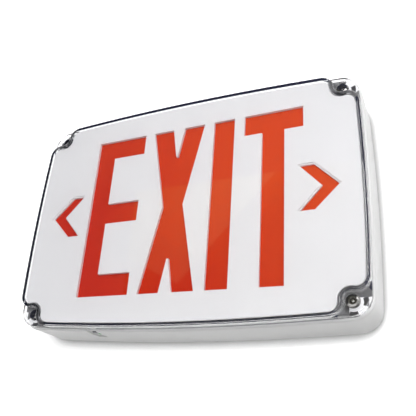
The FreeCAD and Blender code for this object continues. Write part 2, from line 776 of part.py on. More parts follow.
# ---- clear cover, gasket and screws --------------------------------------------------------
def make_lens_cover():
    """Clear dome on a flange, with a lip round each corner and a raised pad under each screw."""
    body = new_body("lens_cover")
    sketch = front_sketch(body, "dome", FLANGE_BACK)
    outline(sketch, "cover_inset", scalloped=True)
    pad(body, "dome_solid", sketch, "overall_depth - %s" % FLANGE_BACK)
    fillet(body, "face_round", "overall_depth", "cover_round")

    sketch = front_sketch(body, "flange", FLANGE_BACK)
    outline(sketch, "cover_inset")
    pad(body, "corner_flanges", sketch, "cover_flange")
    sketch = front_sketch(body, "lip", FLANGE_BACK)
    outline(sketch, "cover_inset")
    outline(sketch, "cover_inset + lip_width")
    pad(body, "corner_lips", sketch, "cover_flange + lip_height")

    sketch = front_sketch(body, "inside", COVER_BACK)
    outline(sketch, "cover_inset + cover_wall", scalloped=True)
    pocket(body, "hollow", sketch, "%s - %s" % (COVER_BACK, FLANGE_BACK))

    sketch = front_sketch(body, "pad", FLANGE_BACK)
    circle(sketch, SCREW_X, SCREW_Z, "screw_pad_radius")
    screw_pad = pad(body, "screw_pads", sketch, "cover_flange + screw_pad_height")
    sketch = front_sketch(body, "hole", PAD_FRONT)
    circle(sketch, SCREW_X, SCREW_Z, "screw_shank + screw_clearance")
    hole = pocket(body, "screw_holes", sketch, "cover_flange + screw_pad_height")
    four_corners(body, "corners", [screw_pad, hole])


def make_cover_gasket():
    body = new_body("cover_gasket")
    sketch = front_sketch(body, "ring", RIM)
    outline(sketch, GASKET_INSET)
    outline(sketch, GASKET_INNER, scalloped=True)
    pad(body, "solid", sketch, "gasket_thickness")
    sketch = front_sketch(body, "hole", FLANGE_BACK)
    circle(sketch, SCREW_X, SCREW_Z, "screw_shank + screw_clearance")
    hole = pocket(body, "screw_holes", sketch, "gasket_thickness")
    four_corners(body, "corners", [hole])


def make_cover_screws():
    """Stainless pan heads with a pinned six-sided socket."""
    body = new_body("cover_screws")
    top = "(%s + screw_head_height)" % HEAD_SEAT
    tip = "(%s - screw_length)" % HEAD_SEAT
    screw = front_turned(body, "screw", SCREW_X, SCREW_Z,
                         [("0", tip), ("screw_shank / 2", tip),
                          ("screw_shank", "%s + screw_shank" % tip),
                          ("screw_shank", HEAD_SEAT), ("screw_head_radius", HEAD_SEAT),
                          ("screw_head_radius", "%s - screw_head_crown" % top),
                          ("screw_head_radius - screw_head_crown / 2", "%s - screw_head_crown / 3" % top),
                          ("screw_head_radius - 3 * screw_head_crown / 2", top), ("0", top)])
    sketch = front_sketch(body, "socket", top)
    corners = []
    for step in range(6):
        angle = math.radians(60 * step)
        corners.append(("%s + screw_socket_radius * %.6f" % (SCREW_X, math.cos(angle)),
                        "%s + screw_socket_radius * %.6f" % (SCREW_Z, math.sin(angle))))
    polygon(sketch, corners)
    circle(sketch, SCREW_X, SCREW_Z, "screw_pin_radius")
    socket = pocket(body, "sockets", sketch, "screw_socket_depth")
    four_corners(body, "set", [screw, socket])


def make_screw_washers():
    body = new_body("screw_washers")
    sketch = front_sketch(body, "ring", PAD_FRONT)
    circle(sketch, SCREW_X, SCREW_Z, "washer_radius")
    circle(sketch, SCREW_X, SCREW_Z, "screw_shank + screw_clearance / 2")
    ring = pad(body, "ring_solid", sketch, "washer_thickness")
    four_corners(body, "set", [ring])


# ---- stencil face --------------------------------------------------------------------------
TOP = "letter_height / 2"
ARM_EDGE = "(letter_height / 2 - bar_height)"
E_LEFT = "(-legend_left)"
X_CENTRE = "(-legend_left + letter_width * 1.5 + letter_gap)"
I_LEFT = "(-legend_left + 2 * (letter_width + letter_gap))"
T_LEFT = "(-legend_left + 2 * letter_width + 3 * letter_gap + stroke_width)"


def letter_e(sketch):
    stem, right, mid = E_LEFT + " + stroke_width", E_LEFT + " + letter_width", "bar_height / 2"
    polygon(sketch, [(E_LEFT, "-" + TOP), (right, "-" + TOP), (right, "-" + ARM_EDGE),
                     (stem, "-" + ARM_EDGE), (stem, "-" + mid), (right, "-" + mid), (right, mid),
                     (stem, mid), (stem, ARM_EDGE), (right, ARM_EDGE), (right, TOP), (E_LEFT, TOP)])


def letter_x(sketch):
    """Two crossing strokes with blunt notches above and below the waist."""
    outer, inner = "letter_width / 2", "(letter_width / 2 - cross_arm_width)"
    notch = "cross_notch_width / 2"
    upper = [("+ " + outer, TOP), ("+ " + inner, TOP), ("+ " + notch, "cross_notch_height"),
             ("- " + notch, "cross_notch_height"), ("- " + inner, TOP), ("- " + outer, TOP)]
    corners = [(X_CENTRE + " + cross_waist", "0")]
    corners += [("%s %s" % (X_CENTRE, x), z) for x, z in upper]
    corners += [(X_CENTRE + " - cross_waist", "0")]
    corners += [("%s %s" % (X_CENTRE, x), "-" + z) for x, z in upper[::-1]]
    polygon(sketch, corners)


def letter_i(sketch):
    rectangle(sketch, I_LEFT + " + stroke_width / 2", "0", "stroke_width", "letter_height")


def letter_t(sketch):
    stem_l = T_LEFT + " + letter_width / 2 - stroke_width / 2"
    stem_r = T_LEFT + " + letter_width / 2 + stroke_width / 2"
    right = T_LEFT + " + letter_width"
    polygon(sketch, [(stem_l, "-" + TOP), (stem_r, "-" + TOP), (stem_r, ARM_EDGE), (right, ARM_EDGE),
                     (right, TOP), (T_LEFT, TOP), (T_LEFT, ARM_EDGE), (stem_l, ARM_EDGE)])


def chevron(sketch, sign, border="0"):
    """Arrow head cut out beside the letters, or the same shape grown all round by a border."""
    tip = "(overall_width / 2 - chevron_margin)"
    rise, half = "chevron_rise", "(chevron_half_height + %s)" % border
    outer_slope = "(chevron_reach / chevron_half_height)"
    inner_slope = "((chevron_reach + chevron_end - chevron_thickness) / chevron_half_height)"
    outer = "(%s + %s * sqrt(1 + %s * %s))" % (tip, border, outer_slope, outer_slope)
    inner = "(%s - chevron_thickness - %s * sqrt(1 + %s * %s))" % (tip, border, inner_slope, inner_slope)
    outer_end = "(%s - %s * %s)" % (outer, outer_slope, half)
    inner_end = "(%s - %s * %s)" % (inner, inner_slope, half)
    high, low = "%s + %s" % (rise, half), "%s - %s" % (rise, half)
    polygon(sketch, [(sign + outer, rise), (sign + outer_end, high), (sign + inner_end, high),
                     (sign + inner, rise), (sign + inner_end, low), (sign + outer_end, low)])


def make_stencil_plate():
    body = new_body("stencil_plate")
    sketch = front_sketch(body, "outer", RIM)
    outline(sketch, STENCIL_INSET, scalloped=True)
    pad(body, "tray", sketch, "%s - %s" % (STENCIL_FRONT, RIM))
    sketch = front_sketch(body, "inside", STENCIL_BACK)
    outline(sketch, STENCIL_INSET + " + stencil_skirt", scalloped=True)
    pocket(body, "hollow", sketch, "%s - %s" % (STENCIL_BACK, RIM))

    sketch = front_sketch(body, "legend", STENCIL_FRONT)
    letter_e(sketch)
    letter_x(sketch)
    letter_i(sketch)
    letter_t(sketch)
    for sign in ("-", ""):
        chevron(sketch, sign)
    pocket(body, "cut_outs", sketch, "stencil_sheet")

    # shallow rounded step round each chevron
    sketch = front_sketch(body, "border", STENCIL_FRONT)
    for sign in ("-", ""):
        chevron(sketch, sign, "chevron_border")
    pocket(body, "chevron_borders", sketch, "chevron_border_depth")
    upright_fillet(body, "border_corners", STENCIL_FRONT + " - chevron_border_depth", STENCIL_FRONT,
                   "chevron_border")

    # pegs that carry the diffuser
    sketch = front_sketch(body, "peg", STENCIL_BACK)
    for x, z in peg_places():
        circle(sketch, x, z, "peg_radius")
    pegs = pad(body, "pegs", sketch, "diffuser_sheet + 2 * retainer_thickness")
    pegs.Reversed = True
    doc.recompute()

    # tabs that locate the tray in the housing's window
    drop = "%s - (%s - rim_thickness - tab_reach / 2)" % (STENCIL_BACK, RIM)
    high = ("(overall_height / 2 - top_bow_radius"
            " + sqrt(top_bow_radius * top_bow_radius - tab_offset * tab_offset)"
            " - rim_opening_inset - plate_clearance - tab_thickness / 2)")
    sketch = front_sketch(body, "tab", STENCIL_BACK)
    for sign_x in ("-", ""):
        for sign_z in ("-", ""):
            rectangle(sketch, sign_x + "tab_offset", sign_z + high, "tab_width", "tab_thickness")
    tabs = pad(body, "tabs", sketch, drop)
    tabs.Reversed = True
    doc.recompute()


def peg_places():
    return [(sx + PEG_X, sz + "peg_side_z") for sx in ("-", "") for sz in ("-", "")] + [
        ("0", "-" + PEG_Z), ("0", PEG_Z)]


def make_red_diffuser():
    body = new_body("red_diffuser")
    sketch = front_sketch(body, "outer", DIFFUSER_BACK)
    clipped_rectangle(sketch, DIFFUSER_X, DIFFUSER_Z, DIFFUSER_CLIP)
    for x, z in peg_places():
        circle(sketch, x, z, "peg_radius + peg_clearance")
    pad(body, "sheet", sketch, "diffuser_sheet")


def make_diffuser_retainers():
    body = new_body("diffuser_retainers")
    sketch = front_sketch(body, "rings", "%s - retainer_thickness" % DIFFUSER_BACK)
    for x, z in peg_places():
        circle(sketch, x, z, "retainer_radius")
        circle(sketch, x, z, "peg_radius + peg_clearance / 3")
    pad(body, "set", sketch, "retainer_thickness")


# ---- reflector and light strips ------------------------------------------------------------
def make_reflector_tray():
    body = new_body("reflector_tray")
    sketch = front_sketch(body, "outer", "%s - reflector_skirt" % REFLECTOR_FRONT)
    clipped_rectangle(sketch, REFLECTOR_X, REFLECTOR_Z, "reflector_corner")
    pad(body, "tray", sketch, "reflector_skirt")
    sketch = front_sketch(body, "inside", "reflector_station")
    clipped_rectangle(sketch, REFLECTOR_X + " - reflector_sheet", REFLECTOR_Z + " - reflector_sheet",
                      "reflector_corner - reflector_sheet / 2")
    pocket(body, "hollow", sketch, "reflector_skirt")
    sketch = front_sketch(body, "hole", REFLECTOR_FRONT)
    circle(sketch, POST_X, POST_Z, "small_screw_shank + small_hole_clearance")
    circle(sketch, STRIP_SCREW_X, "strip_z", "small_screw_shank + thread_clearance")
    hole = pocket(body, "holes", sketch, "reflector_sheet")
    four_corners(body, "all_holes", [hole])


def make_reflector_screws():
    body = new_body("reflector_screws")
    screw = pan_screw(body, "screw", POST_X, POST_Z, REFLECTOR_FRONT, "small_screw_length")
    four_corners(body, "set", [screw])


def make_led_board(label, sign):
    body = new_body(label)
    sketch = front_sketch(body, "outline", REFLECTOR_FRONT)
    rectangle(sketch, "0", sign + "strip_z", "2 * " + STRIP_X, "strip_height")
    for side in ("-", ""):
        circle(sketch, side + STRIP_SCREW_X, sign + "strip_z",
               "small_screw_shank + small_hole_clearance")
    pad(body, "board", sketch, "board_sheet")


def make_leds(label, sign):
    body = new_body(label)
    sketch = front_sketch(body, "package", STRIP_FRONT)
    rectangle(sketch, "-led_pitch * (led_count - 1) / 2", sign + "strip_z", "led_width", "led_height")
    package = pad(body, "package_solid", sketch, "led_depth")
    row_of(body, "row", [package], "X_Axis", "led_pitch * (led_count - 1)", "led_count")


def make_led_board_screws():
    body = new_body("led_board_screws")
    screw = pan_screw(body, "screw", STRIP_SCREW_X, "strip_z", STRIP_FRONT,
                      "board_sheet + reflector_sheet + small_screw_height")
    four_corners(body, "set", [screw])


# ---- control board and its components ------------------------------------------------------
def make_control_board():
    body = new_body("control_board")
    sketch = front_sketch(body, "outline", CONTROL_BACK)
    rectangle(sketch, "control_x", "control_z", "control_width", "control_height")
    for x, z in control_corners():
        circle(sketch, x, z, "small_screw_shank + small_hole_clearance")
    pad(body, "board", sketch, "board_sheet")


def make_control_board_screws():
    body = new_body("control_board_screws")
    for number, (x, z) in enumerate(control_corners(), start=1):
        pan_screw(body, "screw_%d" % number, x, z, CONTROL_FRONT,
                  "control_standoff + board_sheet - small_hole_clearance")


TRANSFORMER_X = "(control_x - control_width / 4)"
TRANSFORMER_Z = "(control_z - control_height / 4)"


def make_transformer():
    """Laminated core with two windows, and the wound bobbin on its middle limb."""
    core = new_body("transformer_core")
    sketch = front_sketch(core, "outer", CONTROL_FRONT)
    rectangle(sketch, TRANSFORMER_X, TRANSFORMER_Z, "transformer_width", "transformer_height")
    span = "transformer_width / 4"
    for sign in ("-", "+"):
        rectangle(sketch, "%s %s %s" % (TRANSFORMER_X, sign, span), TRANSFORMER_Z,
                  "transformer_window", "transformer_height - 2 * transformer_window")
    pad(core, "laminations", sketch, "transformer_depth")

    bobbin = new_body("transformer_bobbin")
    tall = "transformer_height - 2 * transformer_window - 2 * bobbin_clearance"
    sketch = front_sketch(bobbin, "coils", "%s + bobbin_clearance" % CONTROL_FRONT)
    for sign in ("-", "+"):
        rectangle(sketch, "%s %s %s" % (TRANSFORMER_X, sign, span), TRANSFORMER_Z,
                  "transformer_window - 2 * bobbin_clearance", tall)
    pad(bobbin, "sides", sketch, "transformer_depth + bobbin_clearance")
    sketch = front_sketch(bobbin, "over", "%s + transformer_depth" % CONTROL_FRONT)
    rectangle(sketch, TRANSFORMER_X, TRANSFORMER_Z,
              "transformer_width / 2 + transformer_window - 2 * bobbin_clearance", tall)
    pad(bobbin, "front", sketch, "transformer_window / 4")


def make_capacitors():
    body = new_body("capacitors")
    sketch = front_sketch(body, "first", CONTROL_FRONT)
    circle(sketch, "control_x + control_width / 4", "control_z - control_height / 3", "capacitor_radius")
    can = pad(body, "can", sketch, "capacitor_height")
    row_of(body, "row", [can], "Z_Axis", "2 * capacitor_pitch", "3")


# ---- battery -------------------------------------------------------------------------------
CELL_STATION = "(plate_thickness + cap_wall + cell_radius)"


def make_battery():
    cells = new_body("battery_cells")
    sketch = new_sketch(cells, "first", "YZ_Plane", z="battery_x - cell_length / 2")
    circle(sketch, "-" + CELL_STATION, "battery_z - cell_pitch", "cell_radius")
    cell = pad(cells, "cell", sketch, "cell_length")
    row_of(cells, "row", [cell], "Z_Axis", "2 * cell_pitch", "3")

    caps = new_body("battery_end_caps")
    for name, side in (("left", "-"), ("right", "+")):
        grip = "cell_length / 2 + cap_wall - cap_grip / 2"
        sketch = front_sketch(caps, name, PLATE_FRONT)
        rectangle(sketch, "battery_x %s (%s)" % (side, grip), "battery_z", "cap_grip", "2 * " + PACK_HALF)
        pad(caps, name + "_cap", sketch, "2 * (cell_radius + cap_wall)")
    sketch = new_sketch(caps, "sockets", "YZ_Plane", z="battery_x - cell_length / 2 - peg_clearance")
    for place in ("-", "", "+"):
        z = "battery_z %s" % (place + " cell_pitch" if place else "")
        circle(sketch, "-" + CELL_STATION, z.strip(), "cell_radius + peg_clearance")
    pocket(caps, "cell_sockets", sketch, "cell_length + 2 * peg_clearance", forward=True)


def make_battery_strap():
    body = new_body("battery_strap")
    foot = "(plate_thickness + strap_post_height)"
    over = "(plate_thickness + 2 * (cell_radius + cap_wall))"
    half = "(%s + small_hole_clearance)" % PACK_HALF
    end = "(%s + strap_sheet + strap_foot)" % PACK_HALF
    half_profile = [(end, foot), ("%s" % half, foot), (half, over)]
    outer_profile = [("(%s + strap_sheet)" % half, "%s + strap_sheet" % over),
                     ("(%s + strap_sheet)" % half, "%s + strap_sheet" % foot),
                     (end, "%s + strap_sheet" % foot)]
    inner = [("-(%s)" % y, "battery_z + " + z) for z, y in half_profile]
    inner += [("-(%s)" % y, "battery_z - " + z) for z, y in half_profile[::-1]]
    outer = [("-(%s)" % y, "battery_z - " + z) for z, y in outer_profile[::-1]]
    outer += [("-(%s)" % y, "battery_z + " + z) for z, y in outer_profile]
    sketch = new_sketch(body, "profile", "YZ_Plane", z="battery_x - strap_width / 2")
    polygon(sketch, inner + outer)
    pad(body, "band", sketch, "strap_width")
    sketch = front_sketch(body, "holes", "%s + strap_sheet" % foot)
    for x, z in strap_feet():
        circle(sketch, x, z, "small_screw_shank + small_hole_clearance")
    pocket(body, "foot_holes", sketch, "strap_sheet")

    screws = new_body("strap_screws")
    for number, (x, z) in enumerate(strap_feet(), start=1):
        pan_screw(screws, "screw_%d" % number, x, z, "(%s + strap_sheet)" % foot,
                  "strap_post_height + strap_sheet - small_hole_clearance")


# ---- test controls -------------------------------------------------------------------------
def make_test_controls():
    board = new_body("switch_board")
    sketch = level_sketch(board, "outline", "-" + BOARD_LOW)
    rectangle(sketch, "test_x", "-switch_board_station", "switch_board_width", "switch_board_depth")
    for sign in ("-", "+"):
        circle(sketch, "test_x %s switch_post_spacing / 2" % sign, "-switch_board_station",
               "small_screw_shank + small_hole_clearance")
    pad(board, "board", sketch, "board_sheet")

    screws = new_body("switch_board_screws")
    top = "(%s - board_sheet)" % BOARD_LOW
    for name, sign in (("left", "-"), ("right", "+")):
        upright_turned(screws, name, "test_x %s switch_post_spacing / 2" % sign, "switch_board_station",
                       [("0", "%s + board_sheet + switch_board_rise - small_hole_clearance" % top),
                        ("small_screw_shank",
                         "%s + board_sheet + switch_board_rise - small_hole_clearance" % top),
                        ("small_screw_shank", top), ("small_screw_head", top),
                        ("small_screw_head", "%s - small_screw_height / 2" % top),
                        ("small_screw_head / 2", "%s - small_screw_height" % top),
                        ("0", "%s - small_screw_height" % top)])

    switch = new_body("test_switch")
    sketch = level_sketch(switch, "case", "-" + SWITCH_LOW)
    rectangle(sketch, "test_x", "-button_station", "switch_size", "switch_size")
    circle(sketch, "test_x", "-button_station", "button_stem + button_clearance")
    pad(switch, "case_solid", sketch, "%s - %s" % (SWITCH_LOW, BOARD_LOW))

    button = new_body("test_button")
    upright_turned(button, "button", "test_x", "button_station",
                   [("0", "%s + button_proud" % RECESS_FLOOR),
                    ("button_radius - button_clearance", "%s + button_proud" % RECESS_FLOOR),
                    ("button_radius", "%s + button_proud - button_clearance" % RECESS_FLOOR),
                    ("button_radius", FLANGE_LOW), ("button_flange_radius", FLANGE_LOW),
                    ("button_flange_radius", FLANGE_TOP), ("button_stem", FLANGE_TOP),
                    ("button_stem", "%s + button_travel + button_clearance" % BOARD_LOW),
                    ("0", "%s + button_travel + button_clearance" % BOARD_LOW)])

    seal = new_body("button_seal")
    upright_turned(seal, "ring", "test_x", "button_station",
                   [("button_radius + button_clearance", SPOT_FACE),
                    ("button_flange_radius", SPOT_FACE),
                    ("button_flange_radius", "%s - seal_thickness" % SPOT_FACE),
                    ("button_radius + button_clearance", "%s - seal_thickness" % SPOT_FACE)])

    lamp = new_body("indicator_lamp")
    upright_turned(lamp, "lamp", "test_x", "lamp_station",
                   [("0", "%s + button_clearance" % RECESS_FLOOR),
                    ("lamp_radius - button_clearance", "%s + button_clearance" % RECESS_FLOOR),
                    ("lamp_radius", RECESS_FLOOR), ("lamp_radius", SPOT_FACE),
                    ("lamp_radius + 3 * button_clearance", SPOT_FACE),
                    ("lamp_radius + 3 * button_clearance", BOARD_LOW), ("0", BOARD_LOW)])


def main():
    make_housing()
    make_back_plate()
    make_back_seal()
    make_back_plate_screws()
    make_wall_gasket()
    make_supply_grommet()
    make_lens_cover()
    make_cover_gasket()
    make_cover_screws()
    make_screw_washers()
    make_stencil_plate()
    make_red_diffuser()
    make_diffuser_retainers()
    make_reflector_tray()
    make_reflector_screws()
    make_led_board("led_board_upper", "")
    make_led_board("led_board_lower", "-")
    make_leds("leds_upper", "")
    make_leds("leds_lower", "-")
    make_led_board_screws()
    make_control_board()
    make_control_board_screws()
    make_transformer()
    block("transfer_relay", "control_x + control_width / 4", "control_z + control_height / 8",
          "relay_width", "relay_height", CONTROL_FRONT, "relay_depth")
    make_capacitors()
    block("terminal_block", "control_x", "control_z + control_height / 3",
          "terminal_width", "terminal_height", CONTROL_FRONT, "terminal_depth")
    make_battery()
    make_battery_strap()
    make_test_controls()
    doc.recompute()

    broken = [o.Name for o in doc.Objects if "Invalid" in o.State or "Error" in o.State]
    if broken:
        raise RuntimeError("failed objects: " + ", ".join(broken))
    bodies = [o for o in doc.Objects if o.TypeId == "PartDesign::Body"]
    for body in bodies:
        if body.Shape.isNull() or not body.Shape.isValid():
            raise RuntimeError(body.Label + " has no valid shape")
    os.makedirs("parts", exist_ok=True)
    for body in bodies:
        body.Shape.exportStep("parts/%s.step" % body.Label)
        print("%-22s solids %2d  volume %10.1f mm3" % (body.Label, len(body.Shape.Solids), body.Shape.Volume))


main()
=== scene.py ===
"""Looks for a wet-location exit light: the finish of each piece, the studio and the camera."""

import bpy
import math
from mathutils import Matrix, Vector

bl_info = {
    "name": "Exit Light Finisher",
    "version": (1, 0, 0),
    "blender": (4, 5, 0),
    "location": "3D View > Sidebar > Exit Light",
    "description": "Gives a wet-location exit light its finishes, studio and camera",
    "category": "Object",
}

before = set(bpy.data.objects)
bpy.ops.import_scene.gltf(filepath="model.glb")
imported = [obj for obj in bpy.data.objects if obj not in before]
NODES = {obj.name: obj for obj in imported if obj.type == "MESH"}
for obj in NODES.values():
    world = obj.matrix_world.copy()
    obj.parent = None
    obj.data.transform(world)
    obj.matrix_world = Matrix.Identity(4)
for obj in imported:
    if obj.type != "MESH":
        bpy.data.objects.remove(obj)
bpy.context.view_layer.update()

MM = 0.001
SCREW_X, SCREW_Z = 136.5 * MM, 88.2 * MM    # axes of the four cover screws, either side of the middle
SCREW_HEAD_RADIUS = 5.2 * MM
SCALLOP_RADIUS = 14.5 * MM                  # where the gasket round a screw gets a painted grey shade
POCKET_RADIUS = 12.8 * MM                   # painted pale, glowing floor outward of a screw
POCKET_BACK = -3.0 * MM                     # how far inward of the screw axis that floor starts
PAINTED_PATCH_RADII = 6.8 * MM, 10.4 * MM            # darker grey painted reflection patches in that floor
PAINTED_PATCH_ANGLES = 0.42, 1.15                    # and how far they turn from the corner's diagonal

TOOL_MARKS = 1500.0                         # marks a metre on bare metal
WHITE = (1.0, 1.0, 1.0, 1.0)
FLAG_TINT = (0.05, 0.055, 0.09)
FLAG_X, FLAG_Z = 0.5, 0.42                  # flags stand this far to the sides, above and below
FLAG_NEAR, FLAG_FAR = -0.04, -0.75          # and reach from here to here in front of the wall
CARD_Y = -0.8
CAMERA_SHIFT = 0.0227, 0.0237


# ---- properties -----------------------------------------------------------------------------
def colour(name, description, default):
    return bpy.props.FloatVectorProperty(name=name, description=description, default=default,
                                         size=3, min=0.0, max=1.0, subtype="COLOR")


def share(name, description, default):
    return bpy.props.FloatProperty(name=name, description=description, default=default,
                                   min=0.0, max=1.0, subtype="FACTOR")


class ExitLightColours(bpy.types.PropertyGroup):
    """Colours and gloss of the exit light's parts."""

    moulding: colour("Moulding", "White of the housing, back plate and reflector", (0.80, 0.80, 0.795))
    face: colour("Face", "White of the stencil face", (0.86, 0.855, 0.855))
    red: colour("Red", "Red of the diffuser behind the letters", (0.60, 0.024, 0.004))
    # Painted highlight: this paler orange red stands for light and reflection falling on the diffuser
    red_painted_highlight: colour("Warm red", "Paler orange red where the diffuser catches light", (0.73, 0.066, 0.008))
    rubber: colour("Rubber", "Dark rubber of the grommet and button seal", (0.018, 0.018, 0.022))
    # Painted shade: this dark blue stands for shade and dark reflections in the cover gasket's channel
    seal_painted_shade: colour("Dark seal", "Cover gasket in its narrow channel", (0.055, 0.058, 0.115))
    # Painted light: this near-white stands for light on the gasket's floor in the corners
    seal_painted_light: colour("Pale seal", "Cover gasket round the screws", (0.9, 0.9, 0.9))
    seal: colour("Seal", "Grey silicone of the cover gasket and back seal", (0.72, 0.72, 0.73))
    steel: colour("Steel", "Stainless steel of the screws", (0.58, 0.57, 0.55))
    board: colour("Board", "Solder mask of the circuit boards", (0.05, 0.28, 0.12))
    moulding_roughness: share("Moulding roughness", "How dull the white moulding is", 0.38)
    face_roughness: share("Face roughness", "How dull the stencil face is", 0.45)
    cover_roughness: share("Cover roughness", "How dull the clear cover is", 0.015)


class ExitLightStudio(bpy.types.PropertyGroup):
    """Camera, lamps and surroundings."""

    focal: bpy.props.FloatProperty(name="Focal length", description="Lens of the camera",
                                   default=45.954, min=1.0, unit="CAMERA")
    eye: bpy.props.FloatVectorProperty(name="Eye", description="Where the camera stands",
                                       default=(0.189216, -0.409608, -0.189066), size=3,
                                       subtype="TRANSLATION", unit="LENGTH")
    ambient: bpy.props.FloatProperty(name="Ambient", description="Light from all round",
                                     default=0.48, min=0.0)
    tilt: bpy.props.FloatProperty(name="Tilt", description="How much more of that light comes from above",
                                  default=0.25, min=0.0)
    key: bpy.props.FloatProperty(name="Key", description="Power of the main lamp", default=13.0, min=0.0)
    fill: bpy.props.FloatProperty(name="Fill", description="Power of the side lamp", default=0.2, min=0.0)
    halo: bpy.props.FloatProperty(name="Halo", description="Power of the lamp that shades the wall alone",
                                  default=1.15, min=0.0)


# ---- material helpers -----------------------------------------------------------------------
def new_material(name):
    material = bpy.data.materials.new(name)
    material.use_nodes = True
    tree = material.node_tree
    shader = tree.nodes["Principled BSDF"]
    return material, tree, shader


def link(tree, source, target):
    tree.links.new(source, target)


def coordinates(tree, kind="Object"):
    """X, Y and Z of a point, as sockets."""
    place = tree.nodes.new("ShaderNodeTexCoord")
    parts = tree.nodes.new("ShaderNodeSeparateXYZ")
    link(tree, place.outputs[kind], parts.inputs["Vector"])
    return parts.outputs["X"], parts.outputs["Y"], parts.outputs["Z"]


def noise(tree, scale, detail=3.0, roughness=0.5, stretch=(1.0, 1.0, 1.0)):
    """Noise on Object coordinates, at so many features a metre."""
    place = tree.nodes.new("ShaderNodeTexCoord")
    mapping = tree.nodes.new("ShaderNodeMapping")
    mapping.inputs["Scale"].default_value = stretch
    texture = tree.nodes.new("ShaderNodeTexNoise")
    texture.inputs["Scale"].default_value = scale
    texture.inputs["Detail"].default_value = detail
    texture.inputs["Roughness"].default_value = roughness
    link(tree, place.outputs["Object"], mapping.inputs["Vector"])
    link(tree, mapping.outputs["Vector"], texture.inputs["Vector"])
    return texture.outputs["Fac"]


def ramp(tree, source, stops):
    """Colour ramp over source, from (place, colour) pairs."""
    node = tree.nodes.new("ShaderNodeValToRGB")
    elements = node.color_ramp.elements
    while len(elements) < len(stops):
        elements.new(0.5)
    for element, (place, tint) in zip(elements, stops):
        element.position = place
        element.color = (*tint, 1.0)
    link(tree, source, node.inputs["Fac"])
    return node.outputs["Color"]


def calc(tree, operation, *values):
    """Math node over sockets and numbers."""
    node = tree.nodes.new("ShaderNodeMath")
    node.operation = operation
    for socket, value in zip(node.inputs, values):
        if isinstance(value, (int, float)):
            socket.default_value = value
        else:
            link(tree, value, socket)
    return node.outputs["Value"]


def span(tree, source, start, end, low, high):
    """Value from low to high while source goes from start to end, clamped."""
    node = tree.nodes.new("ShaderNodeMapRange")
    for name, value in zip(("From Min", "From Max", "To Min", "To Max"), (start, end, low, high)):
        node.inputs[name].default_value = value
    link(tree, source, node.inputs["Value"])
    return node.outputs["Result"]


def either(tree, factor, first, second):
    """Shader between first and second."""
    node = tree.nodes.new("ShaderNodeMixShader")
    link(tree, factor, node.inputs["Fac"])
    link(tree, first, node.inputs[1])
    link(tree, second, node.inputs[2])
    return node.outputs["Shader"]


def round_screws(tree):
    """Signed X and Z offsets from the nearest cover screw's axis, outward positive, and the distance."""
    x, _, z = coordinates(tree)
    along = calc(tree, "SUBTRACT", calc(tree, "ABSOLUTE", x), SCREW_X)
    above = calc(tree, "SUBTRACT", calc(tree, "ABSOLUTE", z), SCREW_Z)
    squares = [calc(tree, "MULTIPLY", offset, offset) for offset in (along, above)]
    return along, above, calc(tree, "SQRT", calc(tree, "ADD", *squares))


def blend(tree, factor, first, second):
    """Colour between first and second, each a colour or a socket."""
    node = tree.nodes.new("ShaderNodeMix")
    node.data_type = "RGBA"
    link(tree, factor, node.inputs["Factor"])
    for socket, value in ((node.inputs[6], first), (node.inputs[7], second)):
        if isinstance(value, tuple):
            socket.default_value = (*value, 1.0)
        else:
            link(tree, value, socket)
    return node.outputs[2]


def shaded(tint, factor):
    """Tint made lighter or darker by the factor, up to full strength."""
    return tuple(min(1.0, part * factor) for part in tint)


def grain(tree, shader, source, strength, depth):
    """Bump of the given depth, in metres."""
    bump = tree.nodes.new("ShaderNodeBump")
    bump.inputs["Strength"].default_value = strength
    bump.inputs["Distance"].default_value = depth
    link(tree, source, bump.inputs["Height"])
    link(tree, bump.outputs["Normal"], shader.inputs["Normal"])


def rough_range(tree, shader, source, low, high):
    """Roughness that follows source from low to high."""
    link(tree, span(tree, source, 0.0, 1.0, low, high), shader.inputs["Roughness"])


def plastic(name, tint, roughness, mottle=0.02, grain_scale=900.0, grain_depth=0.00003):
    """Moulded plastic: faint mottle, uneven gloss and a fine surface grain."""
    material, tree, shader = new_material(name)
    broad = noise(tree, 22.0, 4.0)
    link(tree, ramp(tree, broad, [(0.3, shaded(tint, 1.0 - mottle)), (0.7, shaded(tint, 1.0 + mottle))]),
         shader.inputs["Base Color"])
    rough_range(tree, shader, noise(tree, 60.0), roughness - 0.04, roughness + 0.06)
    grain(tree, shader, noise(tree, grain_scale, 2.0), 0.25, grain_depth)
    shader.inputs["IOR"].default_value = 1.5
    return material


def metal(name, tint, roughness, brush=(1.0, 1.0, 1.0)):
    """Bare metal with fine tool marks."""
    material, tree, shader = new_material(name)
    marks = noise(tree, TOOL_MARKS, 4.0, 0.6, stretch=brush)
    link(tree, ramp(tree, marks, [(0.25, shaded(tint, 0.82)), (0.75, shaded(tint, 1.1))]),
         shader.inputs["Base Color"])
    rough_range(tree, shader, marks, roughness, roughness + 0.14)
    grain(tree, shader, marks, 0.3, 0.00002)
    shader.inputs["Metallic"].default_value = 1.0
    return material


def glass(name, tint, roughness, ior):
    """Clear plastic that lets the lamps through to what lies behind it."""
    material, tree, shader = new_material(name)
    shader.inputs["Base Color"].default_value = (*tint, 1.0)
    shader.inputs["Roughness"].default_value = roughness
    shader.inputs["IOR"].default_value = ior
    shader.inputs["Transmission Weight"].default_value = 1.0
    ripple = noise(tree, 9.0, 1.0, stretch=(1.0, 1.0, 1.6))
    grain(tree, shader, ripple, 0.02, 0.0004)
    output = tree.nodes["Material Output"]
    rays = tree.nodes.new("ShaderNodeLightPath")
    through = tree.nodes.new("ShaderNodeBsdfTransparent")
    through.inputs["Color"].default_value = (0.94, 0.94, 0.95, 1.0)
    link(tree, either(tree, rays.outputs["Is Shadow Ray"], shader.outputs["BSDF"], through.outputs["BSDF"]),
         output.inputs["Surface"])
    return material


